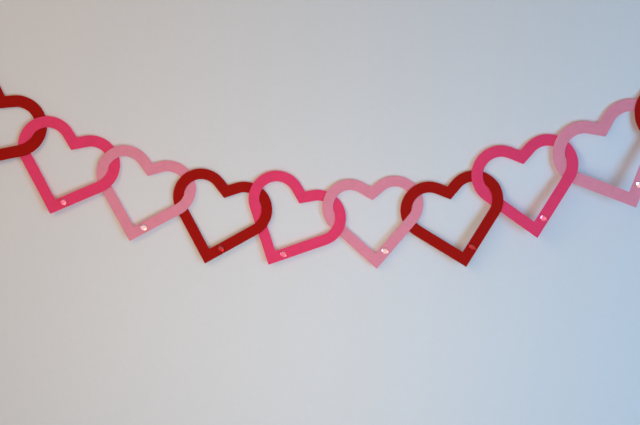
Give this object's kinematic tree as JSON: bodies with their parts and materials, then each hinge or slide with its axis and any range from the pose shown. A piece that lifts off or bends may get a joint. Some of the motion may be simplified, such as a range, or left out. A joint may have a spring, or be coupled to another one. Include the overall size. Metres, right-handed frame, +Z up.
{
  "type": "paper heart garland",
  "caption": "Swag of heart-shaped card rings in red and pinks, linked like a chain, each closed under a small faceted stone and hung by its end hearts.",
  "frame": {"origin": "on the back of the left end heart's outer lobe, where the garland is fastened to the wall", "axes": "+X along the garland to the right as the front is seen, +Y into the wall, +Z up"},
  "size_m": [0.594, 0.0032, 0.1565],
  "materials": {
    "card_red": "matte red card",
    "card_hot_pink": "matte hot pink card",
    "card_light_pink": "matte light pink card",
    "stone_clear": "clear faceted acrylic, rose foil back",
    "stone_red": "red faceted acrylic, rose foil back"
  },
  "bodies": {
    "root": {"heart_01_red": "card_red", "heart_02_hot_pink": "card_hot_pink", "heart_03_light_pink": "card_light_pink", "heart_04_red": "card_red", "heart_05_hot_pink": "card_hot_pink", "heart_06_light_pink": "card_light_pink", "heart_07_red": "card_red", "heart_08_hot_pink": "card_hot_pink", "heart_09_light_pink": "card_light_pink", "heart_10_red": "card_red", "stone_01": "stone_red", "stone_02": "stone_clear", "stone_03": "stone_clear", "stone_04": "stone_red", "stone_05": "stone_clear", "stone_06": "stone_clear", "stone_07": "stone_red", "stone_08": "stone_clear", "stone_09": "stone_clear", "stone_10": "stone_red"}
  },
  "joints": []
}
